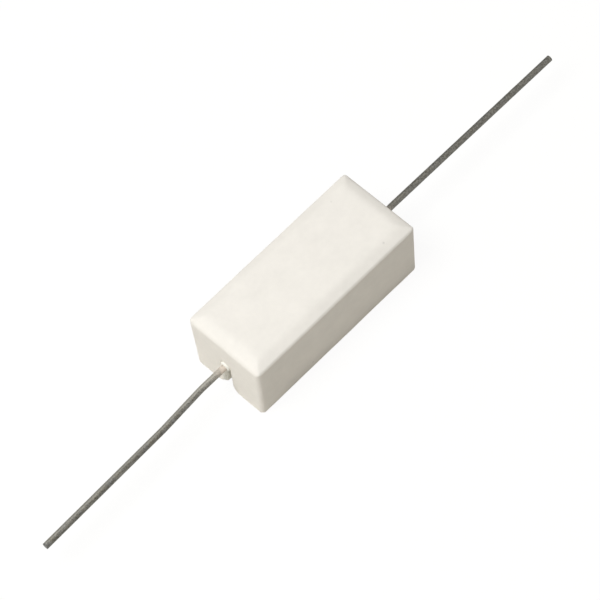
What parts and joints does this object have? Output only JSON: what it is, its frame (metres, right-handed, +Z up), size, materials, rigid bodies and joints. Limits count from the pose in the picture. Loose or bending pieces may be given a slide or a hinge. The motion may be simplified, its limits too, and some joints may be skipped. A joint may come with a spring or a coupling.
{
  "type": "axial resistor",
  "caption": "Wirewound resistor in a cement-filled white ceramic case, with an axial wire lead out of the middle of each end.",
  "frame": {"origin": "centre of the whole part's footprint, in the plane of the case's open rim, on which it rests", "axes": "+X along the leads from the left end to the right end, +Y across the case, +Z up from the rim to the closed side"},
  "size_m": [0.072, 0.0094, 0.0087],
  "materials": {
    "case": "matt, unglazed, fine-grained",
    "cement": "matt, sandy",
    "core": "matt",
    "resistance_wire": "drawn alloy wire",
    "cap_steel": "pressed, plated",
    "lead": "dull tinned"
  },
  "bodies": {
    "root": {"ceramic_case": "case", "cement_fill": "cement", "ceramic_core": "core", "resistance_wire": "resistance_wire", "left_end_cap": "cap_steel", "right_end_cap": "cap_steel", "left_lead": "lead", "right_lead": "lead"}
  },
  "joints": []
}
